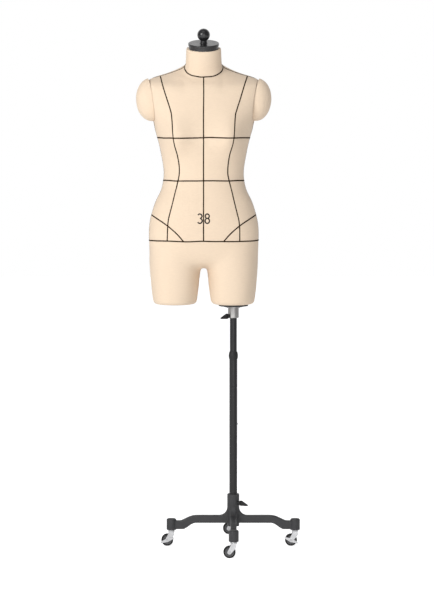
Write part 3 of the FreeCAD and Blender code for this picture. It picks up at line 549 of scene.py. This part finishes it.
def style_paths(tree, middle):
    """Every style line as (path, closed, lift): level lines are sewn over the upright ones."""
    lean = math.tan(math.radians(NECKLINE_TILT))
    front_top, back_top = NECKLINE_Z - NECKLINE_FRONT * lean, NECKLINE_Z + NECKLINE_BACK * lean
    paths = []
    for back, top in ((False, front_top), (True, back_top)):
        line = waver([(0, top + (HIP_Z - top) * k / 110) for k in range(111)], 1 + back)
        paths.append((across_path(tree, middle, line, back), False, 0.0))
        for side in (-1, 1):
            line = waver([(side * x, z) for x, z in smooth_curve(PRINCESS, 12)], 3 + side + back, 1.4)
            paths.append((across_path(tree, middle, line, back), False, 0.0))
    for side in (-1, 1):
        line = [(side * x, z) for x, z in smooth_curve(BIKINI, 10)]
        paths.append((across_path(tree, middle, line, False), False, 0.25 * MM))
        paths.append((side_path(tree, middle, side), False, 0.0))
        paths.append((shoulder_path(tree, middle, side), False, 0.0))
    for level in (BUST_Z, WAIST_Z, HIP_Z):
        paths.append((ring_path(tree, middle, level, 0.0, 260), True, 0.5 * MM))
    paths.append((ring_path(tree, middle, NECKLINE_Z, NECKLINE_TILT, 140), True, 0.5 * MM))
    return paths


def strip(tree, path, closed, half, thick, lift, verts, faces):
    """Adds a flat band that hugs the surface along a path."""
    count = len(path)
    start = len(verts)
    for k, point in enumerate(path):
        before = path[k - 1] if closed or k else path[0]
        after = path[(k + 1) % count] if closed or k < count - 1 else path[-1]
        _, normal, _, _ = tree.find_nearest(point)
        side = normal.cross(after - before).normalized()
        ring = []
        for offset in (-half, 0.0, half):
            near, face_normal, _, _ = tree.find_nearest(point + side * offset)
            ring.append((near, face_normal))
        verts += [p + n * (lift + thick) for p, n in ring]
        verts += [p + n * (lift - 0.35 * MM) for p, n in reversed(ring)]
    size = 6
    for k in range(count if closed else count - 1):
        a, b = start + k * size, start + ((k + 1) % count) * size
        for i in range(size):
            j = (i + 1) % size
            faces.append((a + i, a + j, b + j, b + i))
    if not closed:
        faces.append(tuple(start + i for i in range(size)))
        faces.append(tuple(start + (count - 1) * size + i for i in reversed(range(size))))


def line_gaps(co, paths):
    """How far each point is from the nearest sewn line."""
    points = [p for path, _, _ in paths for p in path]
    tree = KDTree(len(points))
    for k, point in enumerate(points):
        tree.insert(point, k)
    tree.balance()
    return np.array([tree.find(point)[2] for point in co])


def puff(obj, held, reach):
    """Blows a closed cloth out by simulation, held where it is sewn, each point moving reach at most."""
    start = positions(obj.data)
    group = obj.vertex_groups.new(name="held")
    for k, weight in enumerate(held):
        if weight > 0.01:
            group.add([k], float(weight), "REPLACE")
    cloth = obj.modifiers.new("cloth", "CLOTH")
    cloth.settings.vertex_group_mass = "held"
    cloth.settings.use_pressure = True
    cloth.settings.uniform_pressure_force = PUFF_PRESSURE
    cloth.settings.effector_weights.gravity = 0.0
    cloth.point_cache.frame_start = 1
    cloth.point_cache.frame_end = PUFF_FRAMES
    for frame in range(1, PUFF_FRAMES + 1):
        bpy.context.scene.frame_set(frame)
    bpy.context.view_layer.objects.active = obj
    bpy.ops.object.modifier_apply(modifier=cloth.name)
    bpy.context.scene.frame_set(1)
    obj.vertex_groups.clear()
    move = positions(obj.data) - start
    length = np.linalg.norm(move, axis=1)
    share = reach * np.tanh(length / reach) / np.maximum(length, 1e-9)
    set_positions(obj.data, start + move * share[:, None])


def subdivide(obj):
    """One level of smooth subdivision, made real."""
    modifier = obj.modifiers.new("finer", "SUBSURF")
    modifier.levels = 1
    bpy.context.view_layer.objects.active = obj
    bpy.ops.object.modifier_apply(modifier=modifier.name)


def uneven(mesh, scale, height, seed):
    """Very slight unevenness of padding under cloth."""
    co, facing = positions(mesh), normals(mesh)
    shift = Vector((seed, 0, 0))
    for k in range(len(co)):
        co[k] += facing[k] * height * noise.noise(Vector(co[k]) * scale + shift)
    set_positions(mesh, co)


def soften_crotch(mesh):
    """Blends trunk and legs where cloth would bridge the crease."""
    co = positions(mesh)
    z = co[:, 2] / MM
    weight = np.clip(1 - np.abs(z - CROTCH_Z) / 60, 0, 1)
    relax(mesh, 40, 0.5, weight * weight * (3 - 2 * weight))


def ramp(values, start, end):
    """0 at start and 1 at end, eased at both."""
    share = np.clip((values - start) / (end - start), 0, 1)
    return share * share * (3 - 2 * share)


def settle_shoulders(mesh, middle):
    """Lets the padding beside the neck sink a little, least at the armhole."""
    co = positions(mesh)
    x = np.abs(co[:, 0] - middle) / MM
    z = co[:, 2] / MM
    share = ramp(x, SETTLE_IN, SETTLE_FULL) * np.clip((SETTLE_OUT - x) / (SETTLE_OUT - SETTLE_FULL), 0, 1)
    co[:, 2] -= SETTLE * share * ramp(z, 1400.0, 1470.0) * (1 - ramp(z, 1505.0, 1545.0))
    set_positions(mesh, co)


def cut_edges(frame, co):
    """1 on the flat ends of the body, where the linen is fixed to boards, fading to 0."""
    held = np.zeros(len(co))
    low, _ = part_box("torso_cover")
    spots = [(Vector((0, 0, low.z)), Vector((0, 0, -1)), 1.0)]
    neck = next(j for j in frame["joints"] if j["name"] == "finial_unscrew")
    spots.append((Vector(neck["pos_m"]), Vector(neck["axis"]), 0.09))
    for side_name in ("left", "right"):
        centre, out, _, _ = armhole(frame, side_name)
        spots.append((centre, out, 0.09))
    for centre, out, near in spots:
        offset = co - np.array(centre)
        depth = np.abs(offset @ np.array(out))
        close = np.linalg.norm(offset, axis=1) < near
        held = np.maximum(held, np.where(close, np.clip(1.5 - depth / (8 * MM), 0, 1), 0))
    return held


def torso_linen(frame, middle, materials):
    """The padded linen body, grown from the cover's outer surface and puffed between its seams."""
    torso = outer_island(frame["nodes"]["torso_cover"], "torso_linen")
    remesh(torso, LINEN_VOXEL)
    relax(torso.data, 2, 0.5)
    soften_crotch(torso.data)
    settle_shoulders(torso.data, middle)
    uneven(torso.data, 14.0, 0.5 * MM, 3.0)
    paths = style_paths(surface_tree(torso), middle)
    co = positions(torso.data)
    sewn = np.clip(1.6 - line_gaps(co, paths) / (6 * MM), 0, 1)
    cut = cut_edges(frame, co)
    puff(torso, np.maximum(sewn, cut), TORSO_PUFF)
    subdivide(torso)
    torso.data.polygons.foreach_set("use_smooth", [True] * len(torso.data.polygons))
    paint(torso, materials["linen"])
    return torso


def style_tapes(tree, paths, materials):
    """The narrow dark tapes, one closed band per style line."""
    verts, faces = [], []
    for path, closed, lift in paths:
        strip(tree, path, closed, TAPE_HALF, TAPE_THICK, lift, verts, faces)
    tapes = make_object("style_tapes_sewn", verts, faces, False)
    paint(tapes, materials["tape"])
    return tapes


def arc(cx, cz, rx, rz, start, end, steps=14):
    """Points of an elliptical arc, angles in degrees."""
    return [
        (
            cx + rx * math.cos(math.radians(start + (end - start) * k / steps)),
            cz + rz * math.sin(math.radians(start + (end - start) * k / steps)),
        )
        for k in range(steps + 1)
    ]


def size_numeral(tree, middle, materials):
    """A generic size number printed on the front."""
    base, high, wide = NUMERAL_Z, NUMERAL_TALL, NUMERAL_WIDE
    upper, lower = high * 0.235, high * 0.265
    verts, faces = [], []
    three = arc(-NUMERAL_X, base + high - upper, wide / 2, upper, 150, -85)
    three += arc(-NUMERAL_X, base + lower, wide / 2 + 0.6, lower, 85, -150)
    ring_top = arc(NUMERAL_X, base + high - upper, wide / 2 - 0.6, upper, 0, 345, 20)
    ring_low = arc(NUMERAL_X, base + lower, wide / 2, lower, 0, 345, 20)
    for points, closed in ((three, False), (ring_top, True), (ring_low, True)):
        path = across_path(tree, middle, points, False)
        strip(tree, path, closed, INK_HALF, 0.12 * MM, 0.0, verts, faces)
    numeral = make_object("size_numeral", verts, faces, False)
    paint(numeral, materials["print_ink"])
    return numeral


# ---------------------------------------------------------------- arm caps
def squircle(angle, half_x, half_y, power):
    """A point of a rounded outline."""
    c, s = math.cos(angle), math.sin(angle)
    x = half_x * math.copysign(abs(c) ** (2 / power), c)
    return x, half_y * math.copysign(abs(s) ** (2 / power), s)


def armhole(frame, side_name):
    """Centre and outward, upward and forward directions of an armhole."""
    joint = next(j for j in frame["joints"] if j["name"] == f"arm_cap_{side_name}_pull")
    out = Vector(joint["axis"]).normalized()
    up = (Vector((0, 0, 1)) - out * out.z).normalized()
    front = up.cross(out)
    if front.y > 0:
        front = -front
    low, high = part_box(f"arm_plate_{side_name}")
    centre = (low + high) / 2 - out * 0.75 * MM
    return centre, out, up, front


def torso_rim(tree, spot, count):
    """How far the torso reaches from the armhole's centre, all round."""
    centre, out, up, front = spot
    inside = centre - out * 3 * MM
    reach = []
    for k in range(count):
        angle = 2 * math.pi * k / count
        way = up * math.cos(angle) + front * math.sin(angle)
        point = hit(tree, inside + way * 0.12, -way)
        reach.append((point - inside).length if point is not None else 0.0)
    return reach


def cap_profile():
    """Levels from inside the open back, round the hem and over the dome."""
    wall, board = 1.1 * MM, 5.7 * MM
    rows = [(board, 0.02, wall), (board, 0.5, wall), (board, 1.0, wall), (CAP_GAP, 1.0, wall)]
    rows.append((CAP_GAP, 1.0, 0.0))
    for k in range(1, 41):
        phi = math.radians(89.0 * k / 40)
        rows.append((CAP_GAP + CAP_REACH * math.sin(phi), math.cos(phi), 0.0))
    return rows


def cap_point(spot, rim, angle, row, k):
    """One point of an arm cap's surface."""
    centre, out, up, front = spot
    level, share, inset = row
    high, deep = CAP_HIGH - inset, CAP_DEEP - inset
    u, v = squircle(angle, high * share, deep * share, CAP_POWER)
    size = math.hypot(u, v)
    ideal = math.hypot(*squircle(angle, CAP_HIGH, CAP_DEEP, CAP_POWER))
    meet = min(max(rim[k] - 0.2 * MM, ideal + HEM_LEAST), ideal + HEM_MOST)
    blend = max(0.0, 1 - level / (14 * MM)) ** 2
    size *= 1 + (meet / ideal - 1) * blend
    seam = math.exp(-(((level - 33 * MM) / (1.6 * MM)) ** 2))
    size -= 0.8 * MM * seam * share
    way = math.atan2(v, u)
    sag = CAP_SAG * level / CAP_REACH
    return centre + out * level + up * (size * math.cos(way) - sag) + front * size * math.sin(way)


def arm_cap(frame, tree, side_name, materials):
    """A padded linen cap with a seam round its end."""
    spot = armhole(frame, side_name)
    count = 96
    rim = torso_rim(tree, spot, count)
    rows = cap_profile()
    verts, faces = [], []
    for row in rows:
        for k in range(count):
            verts.append(cap_point(spot, rim, 2 * math.pi * k / count, row, k))
    for r in range(len(rows) - 1):
        for k in range(count):
            a, b = r * count + k, r * count + (k + 1) % count
            faces.append((a, b, b + count, a + count))
    faces.append(tuple(range(count)))
    faces.append(tuple((len(rows) - 1) * count + k for k in reversed(range(count))))
    cap = make_object(f"arm_cap_linen_{side_name}", verts, faces)
    held = [max(0.0, min(1.0, 1.4 - row[0] / (16 * MM))) for row in rows for _ in range(count)]
    puff(cap, held, CAP_PUFF)
    uneven(cap.data, 22.0, 0.8 * MM, 7.0)
    subdivide(cap)
    cap.data.polygons.foreach_set("use_smooth", [True] * len(cap.data.polygons))
    paint(cap, materials["linen"])
    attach(cap, f"arm_cap_{side_name}")
    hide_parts(f"arm_cap_cover_{side_name}", f"arm_cap_foam_{side_name}")
    return cap


# ---------------------------------------------------------------- studio
def studio_floor():
    """A plain pale floor."""
    half = 12.0
    corners = [(-half, -half, 0), (half, -half, 0), (half, half, 0), (-half, half, 0)]
    floor = make_object("studio_floor", corners, [(0, 1, 2, 3)])
    shader = Shader("studio_floor", (0.93, 0.93, 0.93), 0.8)
    shader.bsdf.inputs["Emission Color"].default_value = (1, 1, 1, 1)
    path = shader.node("ShaderNodeLightPath")
    glow = shader.node("ShaderNodeMapRange")
    glow.inputs["To Min"].default_value = 0.22
    glow.inputs["To Max"].default_value = 0.66
    shader.link(path.outputs["Is Camera Ray"], glow.inputs["Value"])
    shader.link(glow.outputs["Result"], shader.bsdf.inputs["Emission Strength"])
    paint(floor, shader.material)


def area_light(name, place, target, size, power):
    """A soft square light aimed at a point."""
    data = bpy.data.lights.new(name, "AREA")
    data.size = size
    data.energy = power
    lamp = bpy.data.objects.new(name, data)
    lamp.location = place
    way = Vector(target) - Vector(place)
    lamp.rotation_euler = way.to_track_quat("-Z", "Y").to_euler()
    bpy.context.scene.collection.objects.link(lamp)


def studio_light():
    """Soft light from the front left over a bright surround."""
    world = bpy.data.worlds.new("studio")
    world.use_nodes = True
    tree = world.node_tree
    seen = tree.nodes["Background"]
    seen.inputs["Color"].default_value = (1, 1, 1, 1)
    seen.inputs["Strength"].default_value = 1.0
    ambient = tree.nodes.new("ShaderNodeBackground")
    ambient.inputs["Color"].default_value = (0.97, 0.98, 1.0, 1)
    ambient.inputs["Strength"].default_value = 0.47
    mirrored = tree.nodes.new("ShaderNodeBackground")
    mirrored.inputs["Color"].default_value = (1, 1, 1, 1)
    way = tree.nodes.new("ShaderNodeTexCoord")
    split = tree.nodes.new("ShaderNodeSeparateXYZ")
    fade = tree.nodes.new("ShaderNodeMapRange")
    fade.interpolation_type = "SMOOTHSTEP"
    fade.inputs["From Min"].default_value = -0.1
    fade.inputs["From Max"].default_value = 0.9
    fade.inputs["To Min"].default_value = 0.13
    fade.inputs["To Max"].default_value = 0.95
    tree.links.new(way.outputs["Generated"], split.inputs[0])
    tree.links.new(split.outputs["Y"], fade.inputs["Value"])
    tree.links.new(fade.outputs["Result"], mirrored.inputs["Strength"])
    path = tree.nodes.new("ShaderNodeLightPath")
    glossy = tree.nodes.new("ShaderNodeMixShader")
    mix = tree.nodes.new("ShaderNodeMixShader")
    tree.links.new(path.outputs["Is Glossy Ray"], glossy.inputs["Fac"])
    tree.links.new(ambient.outputs["Background"], glossy.inputs[1])
    tree.links.new(mirrored.outputs["Background"], glossy.inputs[2])
    tree.links.new(path.outputs["Is Camera Ray"], mix.inputs["Fac"])
    tree.links.new(glossy.outputs["Shader"], mix.inputs[1])
    tree.links.new(seen.outputs["Background"], mix.inputs[2])
    tree.links.new(mix.outputs["Shader"], tree.nodes["World Output"].inputs["Surface"])
    bpy.context.scene.world = world
    area_light("key", (-3.0, -3.8, 2.6), (-0.1, 0, 1.1), 2.2, 136)
    area_light("front", (0.4, -5.0, 1.3), (-0.1, 0, 1.0), 2.5, 41)
    area_light("top", (-0.5, -1.5, 4.0), (-0.1, 0, 1.3), 2.5, 14)


def camera():
    """A long lens at chest height, looking slightly down."""
    data = bpy.data.cameras.new("camera")
    data.lens = 129.6
    data.sensor_width = 36.0
    cam = bpy.data.objects.new("camera", data)
    cam.location = (-0.0515, -6.70, 1.3275)
    cam.rotation_euler = (math.radians(90 - 4.58), 0, 0)
    bpy.context.scene.collection.objects.link(cam)
    bpy.context.scene.camera = cam
    bpy.context.scene.view_settings.view_transform = "Standard"


def main():
    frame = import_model()
    materials = make_materials()
    dress_cad(frame, materials)
    low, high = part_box("torso_cover")
    middle = (low.x + high.x) / 2
    torso = torso_linen(frame, middle, materials)
    tree = surface_tree(torso)
    paths = style_paths(tree, middle)
    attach(torso, "form")
    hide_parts("torso_cover", "torso_padding")
    tapes = style_tapes(tree, paths, materials)
    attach(tapes, "form")
    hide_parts("style_tapes")
    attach(size_numeral(tree, middle, materials), "form")
    for side_name in ("left", "right"):
        arm_cap(frame, tree, side_name, materials)
    studio_floor()
    studio_light()
    camera()


main()
